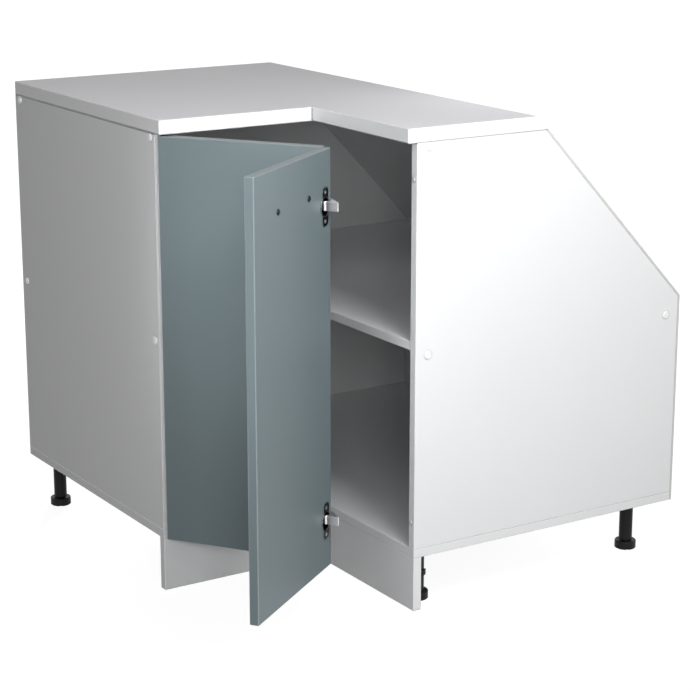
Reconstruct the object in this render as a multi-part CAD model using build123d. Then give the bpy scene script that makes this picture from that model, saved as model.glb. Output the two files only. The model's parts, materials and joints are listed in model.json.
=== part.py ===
from build123d import *
import math
import os
from collections import namedtuple

os.makedirs("parts", exist_ok=True)

# The unit stands in a corner under a sloping roof. In plan, x runs along the rear wall
# from the left flank to the low wall, and v runs from the rear wall to the front (y = -v).
# All lengths are millimetres, the floor is z = 0 and angles are degrees.

# Carcass boards
unit_width = 900.0  # along the rear wall
unit_depth = 900.0  # along the low wall
left_wing = 582.0  # carcass depth of the left wing, from the rear wall
right_wing = 582.0  # carcass depth of the right wing, from the low wall
board = 16.0
base_height = 98.0  # floor to the underside of the bottom panel
worktop_top = 845.0
worktop_thick = 25.0
worktop_overhang = 18.0  # past the carcass fronts, flush with the closed doors
shelf_bottom = 466.0
fit_gap = 0.4  # all round a loose board
board_bevel = 0.4
worktop_bevel = 0.8

# Roof line, which cuts the worktop, the flank and the backs
roof_start = 565.0  # x where the roof line meets the worktop's upper face
low_wall = 492.0  # height where the roof line meets the low wall

# Thin backs
sheet = 4.0
rear_recess = 8.0  # from the rear edges to the rear back
groove_depth = 8.0
floor_groove_depth = 6.0
groove_clear = 0.2

# Battens under the worktop and under the shelf
batten = 16.0
left_batten_setback = 6.0  # front end, behind the carcass front
right_batten_setback = 12.0

# Screws and nails: shank radius, length, head radius and head height
Fixing = namedtuple("Fixing", "radius length head_radius head_height")
batten_screw = Fixing(2.0, 27.0, 4.0, 2.5)  # from a flank, and up into the shelf
worktop_screw = Fixing(2.0, 34.0, 4.0, 2.5)
carcass_screw = Fixing(2.5, 50.0, 4.8, 3.0)
plate_screw = Fixing(1.8, 13.0, 3.6, 1.6)
leg_screw = Fixing(1.8, 14.0, 3.4, 1.6)
back_nail = Fixing(0.8, 16.0, 2.0, 0.8)
fixing_clear = 0.05
cap_radius = 7.0
cap_height = 2.2
dome_share = 0.8  # of a cap's or a domed head's height that is rounded
left_screw_inset = 15.0  # of the left flank's front screws, from the carcass front
right_screw_inset = 25.0
rear_screw_inset = 23.0
low_screw_inset = 32.0  # of the last shelf screw, from the low wall
carcass_screw_inset = 60.0
screw_share = 1 / 3  # of a batten's run, from its end to the nearer screw
nail_share = 1 / 4
slope_nail_drop = 2.5  # of the nails in the slope's batten, below the worktop

# Levelling legs and plinths
leg_setback = 43.0  # axis behind the carcass front
leg_side_inset = 40.0  # of the left legs
leg_flank_inset = 52.5  # of the legs along the right flank
leg_rear_inset = 50.0
leg_low_inset = 63.0
leg_corner_inset = 28.0  # of the leg at the inner corner
foot_radius = 20.0
foot_height = 15.0
foot_bevel = 1.0
foot_travel = 20.0  # also the room above the rod
foot_notches = 6  # at its lower edge
notch_turn = 4.0
notch_width = 4.0
notch_height = 5.0
notch_depth = 3.0
tube_radius = 12.5
tube_gap = 2.0  # between the tube's mouth and the foot
rod_radius = 9.0
rod_clear = 0.3
socket_roof = 1.0
flange_radius = 26.5
flange_thick = 4.0
flange_screw_circle = 21.0
flange_screws = 4
plinth_floor_gap = 1.0
clip_wall = 3.0
clip_height = 10.0
clip_middle = 50.0
clip_web = 8.0
clip_base = 32.0
clip_screws_apart = 21.0
clip_base_height = 26.0
clip_base_thick = 3.0
clip_mouth = 18.0
joint_plate_reach = 34.0
joint_plate_height = 40.0
joint_plate_thick = 2.0

# Door leaves, which close as an L and stand open by rest_angle
leaf = 16.0
door_gap = 2.0  # between a carcass front and a closed leaf
leaf_side_gap = 2.0  # from each flank's outer face
leaf_joint_gap = 1.0  # between the leaves, and from the corner of the two door faces
leaf_top_gap = 2.0
leaf_foot_gap = 2.5
leaf_bevel = 0.8
rest_angle = 54.5
bumper_radius = 4.0
bumper_thick = 1.5
bumper_inset = 60.0

# Hinges, at the same two heights on both leaves
hinge_from_top = 93.5
hinge_from_foot = 85.0
cup_radius = 17.5
cup_depth = 12.0
cup_wall = 1.5
cup_floor = 1.0
cup_from_edge = 22.5
cup_flange_height = 64.0
cup_flange_width = 24.0
cup_flange_thick = 0.8
cup_flange_corner = 8.0
cup_rim = 1.0
cup_screws_apart = 48.0
bore_clear = 0.05
plate_height = 48.0
plate_screws_apart = 32.0

# Curved links of both hinges slide inside one another round the pivot
pivot_x = 7.5
pivot_v = 595.0
link_clear = 0.3
link_web = 1.2
link_leg = 1.5
tongue_thick = 4.3
tongue_half = 2.1
link_bore = 12.8  # inner radius of all links of the cabinet hinge
link_start = -54.0
link_end = -2.0
stop_angle = 1.5
cut_over = 1.0  # how far a cutting shape runs past what it cuts
root_lap = 0.1

cabinet_plate_thick = 2.5
cabinet_plate_length = 36.0
cabinet_plate_setback = 37.0  # its screws, behind the carcass front
cabinet_arm_height = 16.0
cabinet_arm_tail = 62.0
arm_flank_gap = 0.5
arm_step_start = 1.0  # past the plate's end
arm_step_run = 2.0
arm_toe = 0.3
arm_toe_run = 1.0
arm_shoulder = 5.0
arm_shoulder_run = 7.0
arm_slant_run = 15.0

fold_bore = 19.6
fold_tongue_thick = 1.8
fold_tongue_half = 3.9
fold_link_start = 4.0
fold_link_end = 62.0
fold_tongue_start = 28.0
fold_nose_end = 56.0
fold_arm_reach = 38.5  # from the fold axis, at the arm's open end
fold_arm_front = 19.5
fold_arm_neck = 6.5
fold_arm_depth = 2.0
fold_arm_tail = 2.0  # from the plate's end to the arm's
fold_hollow_bore = 1.0
fold_hollow_start = -20.0
fold_hollow_end = 88.0
fold_rim_clear = 0.4
fold_plate_start = 6.0
fold_plate_length = 34.0
fold_plate_thick = 2.0
fold_arm_base = 5.5

# Bar handle on the second leaf
handle_from_top = 69.0
handle_screws_apart = 120.0
handle_length = 156.0
handle_bar_radius = 6.0
handle_bevel = 1.0
handle_post_radius = 5.0
handle_reach = 27.0  # leaf face to the bar's axis
handle_screw_radius = 2.0
handle_screw_bite = 8.0
handle_screw_head_radius = 5.0
handle_screw_head_height = 2.4

# Values worked out from those above
worktop_bottom = worktop_top - worktop_thick
bottom_top = base_height + board
shelf_top = shelf_bottom + board
front_v = left_wing
front_x = unit_width - right_wing
low_inner = unit_width - sheet
rear_inner = rear_recess + sheet
roof_fall = (worktop_top - low_wall) / (unit_width - roof_start)
flank_inner = unit_depth - board
rod_height = base_height - foot_travel

leaf_a_face = front_v + door_gap
leaf_a_outer = leaf_a_face + leaf
leaf_b_face = front_x - door_gap
leaf_b_outer = leaf_b_face - leaf
leaf_foot = base_height + leaf_foot_gap
leaf_top = worktop_bottom - leaf_top_gap
fold_x = leaf_b_outer - leaf_joint_gap / 2
fold_v = leaf_a_outer + leaf_joint_gap / 2
hinge_heights = (leaf_top - hinge_from_top, leaf_foot + hinge_from_foot)

arm_half = tongue_half + 3 * (link_clear + link_leg)
stand = (Align.CENTER, Align.CENTER, Align.MIN)


def place(spot):
    # a point given as x, v and z
    return (spot[0], -spot[1], spot[2])


def block(x0, x1, v0, v1, z0, z1):
    centre = place(((x0 + x1) / 2, (v0 + v1) / 2, (z0 + z1) / 2))
    return Pos(*centre) * Box(x1 - x0, v1 - v0, z1 - z0)


def plan_prism(points, z0, z1):
    # an outline of x, v points, raised from z0 to z1
    outline = Polygon(*[(x, -v) for x, v in points], align=None)
    return extrude(Pos(0, 0, z0) * outline, amount=z1 - z0, dir=(0, 0, 1))


def profile_prism(points, v0, v1):
    # an outline of x, z points, drawn out from v0 to v1
    side = Plane(origin=(0, -v0, 0), x_dir=(1, 0, 0), z_dir=(0, -1, 0))
    outline = Polygon(*points, align=None)
    return extrude(side * outline, amount=v1 - v0, dir=(0, -1, 0))


def sector(pivot, r0, r1, a0, a1, z0, z1):
    # part of a ring round the pivot; angles turn from x towards v
    centre = (pivot[0], -pivot[1])
    outer = CenterArc(centre, r1, -a1, a1 - a0)
    inner = CenterArc(centre, r0, -a1, a1 - a0)
    edges = [outer, Line(outer @ 1, inner @ 1), inner, Line(inner @ 0, outer @ 0)]
    return extrude(Pos(0, 0, z0) * make_face(edges), amount=z1 - z0, dir=(0, 0, 1))


def polar(pivot, radius, angle):
    turn = math.radians(angle)
    return (pivot[0] + radius * math.cos(turn), pivot[1] + radius * math.sin(turn))


def turned(shape, pivot, angle):
    # opens a shape round an upright axis, from x towards v
    return shape.rotate(Axis((pivot[0], -pivot[1], 0), (0, 0, 1)), -angle)


def roof_height(x, inset=0.0):
    # height of the roof line at x, or of the line that lies inset inside it
    return worktop_top - (x - roof_start) * roof_fall - inset * math.hypot(1, roof_fall)


def roof_reach(z, inset=0.0):
    drop = worktop_top - z - inset * math.hypot(1, roof_fall)
    return roof_start + drop / roof_fall


def fixing(spot, way, kind, clear=0.0):
    # a countersunk screw or nail whose head lies flush at the spot
    shank = Cylinder(kind.radius + clear, kind.length + clear, align=stand)
    head = Cone(kind.head_radius + clear, kind.radius + clear, kind.head_height, align=stand)
    return Plane(origin=place(spot), z_dir=way) * (shank + head)


def fixings(spots, kind):
    return Compound(children=[fixing(spot, way, kind) for spot, way in spots])


def drilled(shape, spots, kind):
    holes = [fixing(spot, way, kind, fixing_clear) for spot, way in spots]
    return shape - holes if holes else shape


def beveled(shape, size):
    return chamfer(shape.edges(), size)


# Fixing spots, each with the direction in which the screw or nail points
to_right = (1, 0, 0)
to_left = (-1, 0, 0)
to_rear = (0, 1, 0)
to_front = (0, -1, 0)
upward = (0, 0, 1)
batten_levels = (worktop_bottom - batten / 2, shelf_bottom - batten / 2)
roof_inward = (-roof_fall, 0, -1)

left_flank_spots = [
    ((0, v, z), to_right)
    for z in batten_levels
    for v in (rear_screw_inset, front_v - left_screw_inset)
]
right_flank_spots = [
    ((front_x + right_screw_inset, unit_depth, batten_levels[0]), to_rear),
    ((front_x + right_screw_inset, unit_depth, batten_levels[1]), to_rear),
    ((unit_width - low_screw_inset, unit_depth, batten_levels[1]), to_rear),
]

left_middle = board + batten / 2
right_middle = flank_inner - batten / 2
rear_middle = rear_inner + batten / 2
low_middle = low_inner - batten / 2
slope_batten_end = roof_reach(worktop_bottom, sheet) - fit_gap
slope_middle = slope_batten_end - batten / 2
worktop_screw_z = worktop_bottom - batten
shelf_screw_z = shelf_bottom - batten


def pair(low, high, share=screw_share):
    # two spots in a run, each a share of it from its end
    return (low + (high - low) * share, high - (high - low) * share)


worktop_left_spots = [((left_middle, v, worktop_screw_z), upward) for v in pair(board, front_v)]
worktop_rear_spots = [((x, rear_middle, worktop_screw_z), upward) for x in pair(board, slope_middle)]
worktop_right_spots = [((x, right_middle, worktop_screw_z), upward) for x in pair(front_x, slope_middle)]
worktop_slope_spots = [((slope_middle, v, worktop_screw_z), upward) for v in pair(board, flank_inner)]
shelf_left_spots = [((left_middle, v, shelf_screw_z), upward) for v in pair(board, front_v)]
shelf_rear_spots = [((x, rear_middle, shelf_screw_z), upward) for x in pair(board, low_middle)]
shelf_right_spots = [((x, right_middle, shelf_screw_z), upward) for x in pair(front_x, low_middle)]
shelf_low_spots = [((low_middle, v, shelf_screw_z), upward) for v in pair(board, flank_inner)]
worktop_spots = worktop_left_spots + worktop_rear_spots + worktop_right_spots + worktop_slope_spots
shelf_spots = shelf_left_spots + shelf_rear_spots + shelf_right_spots + shelf_low_spots

carcass_left_spots = [
    ((board / 2, v, base_height), upward)
    for v in (carcass_screw_inset, front_v / 2, front_v - carcass_screw_inset)
]
carcass_right_spots = [
    ((x, unit_depth - board / 2, base_height), upward)
    for x in (
        front_x + carcass_screw_inset,
        (front_x + unit_width) / 2,
        unit_width - carcass_screw_inset,
    )
]
carcass_spots = carcass_left_spots + carcass_right_spots

rear_worktop_nails = [
    ((x, rear_recess, batten_levels[0]), to_front) for x in pair(board, slope_middle, nail_share)
]
rear_shelf_nails = [
    ((x, rear_recess, batten_levels[1]), to_front) for x in pair(board, low_middle, nail_share)
]
low_floor_nails = [
    ((unit_width, v, base_height + board / 2), to_left) for v in pair(0, unit_depth, nail_share)
]
low_shelf_nails = [
    ((unit_width, v, batten_levels[1]), to_left) for v in pair(board, flank_inner, nail_share)
]
flank_middle = unit_depth - board / 2
low_flank_nails = [
    ((unit_width, flank_middle, z), to_left) for z in pair(bottom_top, low_wall, nail_share)
]
slope_flank_nails = [
    ((x, flank_middle, roof_height(x)), roof_inward)
    for x in pair(roof_reach(worktop_bottom), unit_width, nail_share)
]
slope_nail_z = worktop_bottom - slope_nail_drop
slope_batten_nails = [
    ((roof_reach(slope_nail_z), v, slope_nail_z), roof_inward)
    for v in pair(board, flank_inner, nail_share)
]
rear_nails = rear_worktop_nails + rear_shelf_nails
low_nails = low_floor_nails + low_shelf_nails + low_flank_nails
slope_nails = slope_flank_nails + slope_batten_nails


# Boards of the carcass
def wings(x0, x1, v0, v1, inner_x, inner_v):
    return [(x0, v0), (x1, v0), (x1, v1), (inner_x, v1), (inner_x, inner_v), (x0, inner_v)]


def make_worktop():
    corner_x = front_x - worktop_overhang
    corner_v = front_v + worktop_overhang
    outline = wings(0, unit_width, 0, unit_depth, corner_x, corner_v)
    slab = plan_prism(outline, worktop_bottom, worktop_top)
    end_x = roof_reach(worktop_bottom)
    profile = [(0, worktop_bottom), (end_x, worktop_bottom), (roof_start, worktop_top), (0, worktop_top)]
    top = slab & profile_prism(profile, 0, unit_depth)
    return drilled(beveled(top, worktop_bevel), worktop_spots, worktop_screw)


def make_side_panel_left():
    panel = beveled(block(0, board, 0, front_v, bottom_top, worktop_bottom), board_bevel)
    groove = block(
        board - groove_depth,
        board,
        rear_recess - groove_clear,
        rear_inner + groove_clear,
        bottom_top,
        worktop_bottom,
    )
    panel = drilled(panel - groove, left_flank_spots, batten_screw)
    panel = drilled(panel, carcass_left_spots, carcass_screw)
    return drilled(panel, cabinet_plate_spots, plate_screw)


def make_side_panel_right():
    outline = [
        (front_x, bottom_top),
        (low_inner, bottom_top),
        (low_inner, roof_height(low_inner, sheet)),
        (roof_reach(worktop_bottom, sheet), worktop_bottom),
        (front_x, worktop_bottom),
    ]
    panel = beveled(profile_prism(outline, flank_inner, unit_depth), board_bevel)
    panel = drilled(panel, right_flank_spots, batten_screw)
    panel = drilled(panel, carcass_right_spots, carcass_screw)
    return drilled(panel, low_flank_nails + slope_flank_nails, back_nail)


def make_bottom_panel():
    outline = wings(0, low_inner, 0, unit_depth, front_x, front_v)
    panel = beveled(plan_prism(outline, base_height, bottom_top), board_bevel)
    groove = block(
        board - groove_depth,
        low_inner,
        rear_recess - groove_clear,
        rear_inner + groove_clear,
        bottom_top - floor_groove_depth,
        bottom_top,
    )
    panel = drilled(panel - groove, carcass_spots, carcass_screw)
    panel = drilled(panel, low_floor_nails, back_nail)
    return drilled(panel, leg_screw_spots, leg_screw)


def make_shelf():
    outline = wings(
        board + fit_gap,
        low_inner - fit_gap,
        rear_inner + fit_gap,
        flank_inner - fit_gap,
        front_x,
        front_v,
    )
    panel = beveled(plan_prism(outline, shelf_bottom, shelf_top), board_bevel)
    return drilled(panel, shelf_spots, batten_screw)


# Thin backs, the sloping one over the ends of the other two
def make_rear_back():
    left = board - groove_depth + fit_gap
    foot = bottom_top - floor_groove_depth + fit_gap
    outline = [
        (left, foot),
        (low_inner, foot),
        (low_inner, roof_height(low_inner, sheet)),
        (roof_reach(worktop_bottom, sheet), worktop_bottom),
        (left, worktop_bottom),
    ]
    return drilled(profile_prism(outline, rear_recess, rear_inner), rear_nails, back_nail)


def make_low_back():
    outline = [
        (low_inner, base_height),
        (unit_width, base_height),
        (unit_width, roof_height(unit_width, sheet)),
        (low_inner, roof_height(low_inner, sheet)),
    ]
    return drilled(profile_prism(outline, 0, unit_depth), low_nails, back_nail)


def make_sloped_back():
    outline = [
        (roof_reach(worktop_bottom), worktop_bottom),
        (roof_reach(worktop_bottom, sheet), worktop_bottom),
        (unit_width, roof_height(unit_width, sheet)),
        (unit_width, roof_height(unit_width)),
    ]
    return drilled(profile_prism(outline, 0, unit_depth), slope_nails, back_nail)


# Battens, each under the board that it carries
def left_batten(top, screws, kind):
    bar = block(board, board + batten, rear_inner, front_v - left_batten_setback, top - batten, top)
    bar = drilled(beveled(bar, board_bevel), left_flank_spots, batten_screw)
    return drilled(bar, screws, kind)


def right_batten(top, end, screws, kind, nails):
    start = front_x + right_batten_setback
    bar = block(start, end, flank_inner - batten, flank_inner, top - batten, top)
    bar = drilled(beveled(bar, board_bevel), right_flank_spots, batten_screw)
    return drilled(drilled(bar, screws, kind), nails, back_nail)


def rear_batten(top, end, screws, kind, nails):
    bar = block(board + batten, end, rear_inner, rear_inner + batten, top - batten, top)
    return drilled(drilled(beveled(bar, board_bevel), screws, kind), nails, back_nail)


def low_batten(top, end, screws, kind, nails):
    bar = block(end - batten, end, rear_inner + batten, flank_inner - batten, top - batten, top)
    return drilled(drilled(beveled(bar, board_bevel), screws, kind), nails, back_nail)


def slope_batten():
    # its outer side is planed to the slope, for the sloping back to lie on
    low = worktop_bottom - batten
    outline = [
        (slope_batten_end - batten, low),
        (roof_reach(low, sheet) - fit_gap, low),
        (slope_batten_end, worktop_bottom),
        (slope_batten_end - batten, worktop_bottom),
    ]
    bar = beveled(profile_prism(outline, rear_inner + batten, flank_inner - batten), board_bevel)
    return drilled(drilled(bar, worktop_slope_spots, worktop_screw), slope_batten_nails, back_nail)


def make_screw_caps():
    caps = []
    for spot, way in left_flank_spots + right_flank_spots:
        cap = Cylinder(cap_radius, cap_height, align=stand)
        cap = fillet(cap.edges().sort_by(Axis.Z)[-1:], cap_height * dome_share)
        outward = tuple(-step for step in way)
        caps.append(Plane(origin=place(spot), z_dir=outward) * cap)
    return Compound(children=caps)


# Legs and plinths
leg_spots = {
    "rear_left": (leg_side_inset, leg_rear_inset),
    "front_left": (leg_side_inset, front_v - leg_setback),
    "inner_corner": (front_x - leg_corner_inset, front_v - leg_setback),
    "front_right": (front_x + leg_setback, unit_depth - leg_flank_inset),
    "far_right": (unit_width - leg_low_inset, unit_depth - leg_flank_inset),
    "rear_right": (unit_width - leg_low_inset, leg_rear_inset),
}
flange_foot = base_height - flange_thick
leg_screw_spots = [
    ((*polar(spot, flange_screw_circle, 360 / flange_screws * (turn + 0.5)), flange_foot), upward)
    for spot in leg_spots.values()
    for turn in range(flange_screws)
]


def make_leg_sockets():
    sockets = []
    mouth = foot_height + tube_gap
    for x, v in leg_spots.values():
        flange = Pos(x, -v, flange_foot) * Cylinder(flange_radius, flange_thick, align=stand)
        tube = Pos(x, -v, mouth) * Cylinder(tube_radius, flange_foot - mouth, align=stand)
        bore_height = base_height - mouth - socket_roof
        bore = Pos(x, -v, mouth) * Cylinder(rod_radius + rod_clear, bore_height, align=stand)
        near = [s for s in leg_screw_spots if math.dist(s[0][:2], (x, v)) < flange_radius]
        sockets.append(drilled(flange + tube - bore, near, leg_screw))
    return Compound(children=sockets)


def make_foot(spot):
    disc = Cylinder(foot_radius, foot_height, align=stand)
    disc = chamfer(disc.edges().filter_by(GeomType.CIRCLE), foot_bevel)
    notch = Box(2 * notch_depth, notch_width, notch_height, align=stand)
    for turn in range(foot_notches):
        angle = notch_turn + 360 / foot_notches * turn
        disc -= Rot(0, 0, angle) * (Pos(foot_radius, 0, 0) * notch)
    rod = Cylinder(rod_radius, rod_height, align=stand)
    return Pos(spot[0], -spot[1], 0) * (disc + rod)


def make_plinth_left():
    bar = block(0, front_x + board, front_v - board, front_v, plinth_floor_gap, base_height)
    bar = beveled(bar, board_bevel)
    return drilled(drilled(bar, left_clip_spots, plate_screw), joint_plate_spots, plate_screw)


def make_plinth_right():
    bar = block(front_x, front_x + board, front_v, unit_depth, plinth_floor_gap, base_height)
    bar = beveled(bar, board_bevel)
    return drilled(drilled(bar, right_clip_spots, plate_screw), joint_plate_spots, plate_screw)


clip_reach = leg_setback - board
clip_legs_left = [leg_spots["front_left"], leg_spots["inner_corner"]]
clip_leg_right = leg_spots["front_right"]
clip_face = clip_reach - clip_base_thick
left_clip_spots = [
    ((x + side * clip_screws_apart / 2, v + clip_face, clip_middle), to_front)
    for x, v in clip_legs_left
    for side in (-1, 1)
]
right_clip_x = clip_leg_right[0] - clip_face
right_clip_spots = [
    ((right_clip_x, clip_leg_right[1] + side * clip_screws_apart / 2, clip_middle), to_left)
    for side in (-1, 1)
]
clip_spots = left_clip_spots + right_clip_spots
joint_plate_x = front_x + board + joint_plate_thick
joint_plate_spots = [
    ((joint_plate_x, front_v + along, clip_middle + rise), to_left)
    for along in (-board / 2, joint_plate_reach / 2)
    for rise in (-joint_plate_height / 4, joint_plate_height / 4)
]


def make_clip():
    # holds a leg's tube at the origin; its base lies towards v
    low = clip_middle - clip_height / 2
    outer = tube_radius + clip_wall
    ring = Cylinder(outer, clip_height, align=stand)
    ring = ring - Cylinder(tube_radius + fixing_clear, clip_height, align=stand)
    ring = Pos(0, 0, low) * ring
    mouth = block(-clip_mouth / 2, clip_mouth / 2, -outer, -outer / 2, low, low + clip_height)
    web = block(-clip_web / 2, clip_web / 2, outer - clip_wall / 2, clip_face, low, low + clip_height)
    base_low = clip_middle - clip_base_height / 2
    base = block(
        -clip_base / 2, clip_base / 2, clip_face, clip_reach, base_low, base_low + clip_base_height
    )
    return ring - mouth + web + base


def make_plinth_clips():
    clips = [Pos(x, -v, 0) * make_clip() for x, v in clip_legs_left]
    x, v = clip_leg_right
    clips.append(Pos(x, -v, 0) * (Rot(0, 0, -90) * make_clip()))
    return Compound(children=[drilled(clip, clip_spots, plate_screw) for clip in clips])


def make_joint_plate():
    low = clip_middle - joint_plate_height / 2
    x = front_x + board
    plate = block(
        x,
        joint_plate_x,
        front_v - board,
        front_v + joint_plate_reach,
        low,
        low + joint_plate_height,
    )
    return drilled(plate, joint_plate_spots, plate_screw)


# Door leaves and their hinges, all drawn with the doors closed
cabinet_pivot = (pivot_x, pivot_v)
fold_pivot = (fold_x, fold_v)
cup_a_x = leaf_side_gap + cup_from_edge
cup_b_v = fold_v + leaf_joint_gap / 2 + cup_from_edge
cup_a_screws = [
    ((cup_a_x, leaf_a_face - cup_flange_thick, z + side * cup_screws_apart / 2), to_front)
    for z in hinge_heights
    for side in (-1, 1)
]
cup_b_screws = [
    ((leaf_b_face + cup_flange_thick, cup_b_v, z + side * cup_screws_apart / 2), to_left)
    for z in hinge_heights
    for side in (-1, 1)
]
plate_face = board + cabinet_plate_thick
plate_v = front_v - cabinet_plate_setback
cabinet_plate_spots = [
    ((plate_face, plate_v, z + side * plate_screws_apart / 2), to_left)
    for z in hinge_heights
    for side in (-1, 1)
]
fold_plate_x1 = fold_x - fold_plate_start
fold_plate_x0 = fold_plate_x1 - fold_plate_length
fold_plate_v = leaf_a_face - fold_plate_thick
fold_plate_spots = [
    (((fold_plate_x0 + fold_plate_x1) / 2, fold_plate_v, z + side * plate_screws_apart / 2), to_front)
    for z in hinge_heights
    for side in (-1, 1)
]


def cup_bore(centre, way):
    return Plane(origin=place(centre), z_dir=way) * Cylinder(
        cup_radius + bore_clear, cup_depth + bore_clear, align=stand
    )


def make_leaf_a():
    width_end = fold_x - leaf_joint_gap / 2
    panel = block(leaf_side_gap, width_end, leaf_a_face, leaf_a_outer, leaf_foot, leaf_top)
    panel = beveled(panel, leaf_bevel)
    for z in hinge_heights:
        panel -= cup_bore((cup_a_x, leaf_a_face, z), to_front)
    panel = drilled(panel, cup_a_screws, plate_screw)
    return drilled(panel, fold_plate_spots, plate_screw)


def make_leaf_b():
    start = fold_v + leaf_joint_gap / 2
    end = unit_depth - leaf_side_gap
    panel = block(leaf_b_outer, leaf_b_face, start, end, leaf_foot, leaf_top)
    panel = beveled(panel, leaf_bevel)
    for z in hinge_heights:
        panel -= cup_bore((leaf_b_face, cup_b_v, z), to_left)
    for v in handle_vs:
        panel -= handle_screw(v, fixing_clear)
    return drilled(panel, cup_b_screws, plate_screw)


def make_cup():
    # lies with its flange on z = 0 and sinks along z; the flange's length is along local x
    pot = Cylinder(cup_radius, cup_depth, align=stand)
    rim = Cylinder(cup_radius + cup_rim, cup_flange_thick, align=stand)
    outline = RectangleRounded(cup_flange_height, cup_flange_width, cup_flange_corner)
    wing = extrude(outline, cup_flange_thick)
    flange = Pos(0, 0, -cup_flange_thick) * (rim + wing)
    well_depth = cup_depth - cup_floor + cup_flange_thick
    well = Pos(0, 0, -cup_flange_thick) * Cylinder(cup_radius - cup_wall, well_depth, align=stand)
    return pot + flange - well


def shifted(shape, z):
    return Pos(0, 0, z) * shape


def make_cabinet_cups():
    floor_v = leaf_a_face + cup_depth - cup_floor
    outer = link_bore + tongue_thick
    cups = []
    for z in hinge_heights:
        face = Plane(origin=place((cup_a_x, leaf_a_face, z)), x_dir=(0, 0, 1), z_dir=to_front)
        tongue = sector(cabinet_pivot, link_bore, outer, link_start, link_end, -tongue_half, tongue_half)
        root_v = polar(cabinet_pivot, outer, link_end)[1] - root_lap
        root = block(
            pivot_x + link_bore, pivot_x + outer, root_v, floor_v, -tongue_half, tongue_half
        )
        cup = face * make_cup() + shifted(tongue + root, z)
        cups.append(drilled(cup, cup_a_screws, plate_screw))
    return Compound(children=cups)


def nested_link(pivot, bore, inner_web, inner_half, start, end):
    # a U round the next smaller link, which lies inside inner_web and inner_half
    web = inner_web + link_clear
    half = inner_half + link_clear
    whole = sector(pivot, bore, web + link_web, start, end, -half - link_leg, half + link_leg)
    space = sector(pivot, bore - cut_over, web, start - cut_over, end + cut_over, -half, half)
    return whole - space


def make_cabinet_links(step):
    # step 1 is the link next to the cup, step 2 the one next to the arm
    inner_web = link_bore + tongue_thick + (step - 1) * (link_clear + link_web)
    inner_half = tongue_half + (step - 1) * (link_clear + link_leg)
    link = nested_link(cabinet_pivot, link_bore, inner_web, inner_half, link_start, link_end)
    return Compound(children=[shifted(link, z) for z in hinge_heights])


def make_cabinet_arms():
    inner_web = link_bore + tongue_thick + 2 * (link_clear + link_web)
    inner_half = tongue_half + 2 * (link_clear + link_leg)
    outer = inner_web + link_clear + link_web
    back = link_start - stop_angle
    nose = nested_link(cabinet_pivot, link_bore, inner_web, inner_half, back, link_end)
    neck = board + arm_flank_gap
    top = board + cabinet_arm_height
    inner_corner = polar(cabinet_pivot, outer, back)
    toe_reach = (neck + arm_toe - pivot_x) / math.cos(math.radians(back))
    toe = polar(cabinet_pivot, toe_reach, back)
    tail = front_v - cabinet_arm_tail
    step = plate_v + cabinet_plate_length / 2 + arm_step_start
    outline = [
        (plate_face, tail),
        (plate_face, step),
        (neck, step + arm_step_run),
        (neck, toe[1] - arm_toe_run),
        toe,
        inner_corner,
        (inner_corner[0] + arm_shoulder, inner_corner[1] - arm_shoulder_run),
        (top, inner_corner[1] - arm_slant_run),
        (top, tail),
    ]
    arm = plan_prism(outline, -arm_half, arm_half) + nose
    return Compound(children=[shifted(arm, z) for z in hinge_heights])


def make_cabinet_plates():
    plates = []
    for z in hinge_heights:
        plate = block(
            board,
            plate_face,
            plate_v - cabinet_plate_length / 2,
            plate_v + cabinet_plate_length / 2,
            z - plate_height / 2,
            z + plate_height / 2,
        )
        plates.append(drilled(plate, cabinet_plate_spots, plate_screw))
    return Compound(children=plates)


def make_fold_cups():
    floor_x = leaf_b_face - cup_depth + cup_floor
    outer = fold_bore + fold_tongue_thick
    cups = []
    for z in hinge_heights:
        face = Plane(origin=place((leaf_b_face, cup_b_v, z)), x_dir=(0, 0, 1), z_dir=to_left)
        half = fold_tongue_half
        tongue = sector(fold_pivot, fold_bore, outer, fold_tongue_start, fold_link_end, -half, half)
        tip_in = polar(fold_pivot, fold_bore, fold_link_end)
        tip_out = polar(fold_pivot, outer, fold_link_end)
        root_outline = [tip_in, tip_out, (floor_x, tip_out[1]), (floor_x, tip_in[1])]
        root = plan_prism(root_outline, -half, half)
        cup = face * make_cup() + shifted(tongue + root, z)
        cups.append(drilled(cup, cup_b_screws, plate_screw))
    return Compound(children=cups)


def make_fold_links():
    outer = fold_bore + fold_tongue_thick
    link = nested_link(
        fold_pivot, fold_bore, outer, fold_tongue_half, fold_link_start, fold_link_end
    )
    return Compound(children=[shifted(link, z) for z in hinge_heights])


def make_fold_arms():
    inner_web = fold_bore + fold_tongue_thick + link_clear + link_web
    inner_half = fold_tongue_half + link_clear + link_leg
    nose = nested_link(fold_pivot, fold_bore, inner_web, inner_half, 0, fold_nose_end)
    half = inner_half + link_clear + link_leg
    near_x = leaf_b_face + cup_flange_thick + fold_rim_clear
    tail_x = fold_plate_x0 + fold_arm_tail
    face_v = fold_plate_v
    outline = [
        (tail_x, face_v),
        (fold_plate_x1, face_v),
        (fold_x, leaf_a_face),
        (near_x, fold_v - fold_arm_depth),
        (near_x, fold_v + fold_arm_front),
        (fold_x + fold_arm_reach, fold_v + fold_arm_front),
        (fold_x + fold_arm_neck, face_v),
        (fold_x - fold_plate_start, face_v - fold_arm_base),
        (tail_x, face_v - fold_arm_base),
    ]
    wedge = plan_prism(outline, -half, half)
    room = inner_web + link_clear
    room_half = inner_half + link_clear
    angles = (fold_hollow_start, fold_hollow_end)
    hollow = sector(fold_pivot, fold_hollow_bore, room, *angles, -room_half, room_half)
    arm = wedge - hollow + nose
    return Compound(children=[shifted(arm, z) for z in hinge_heights])


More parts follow.
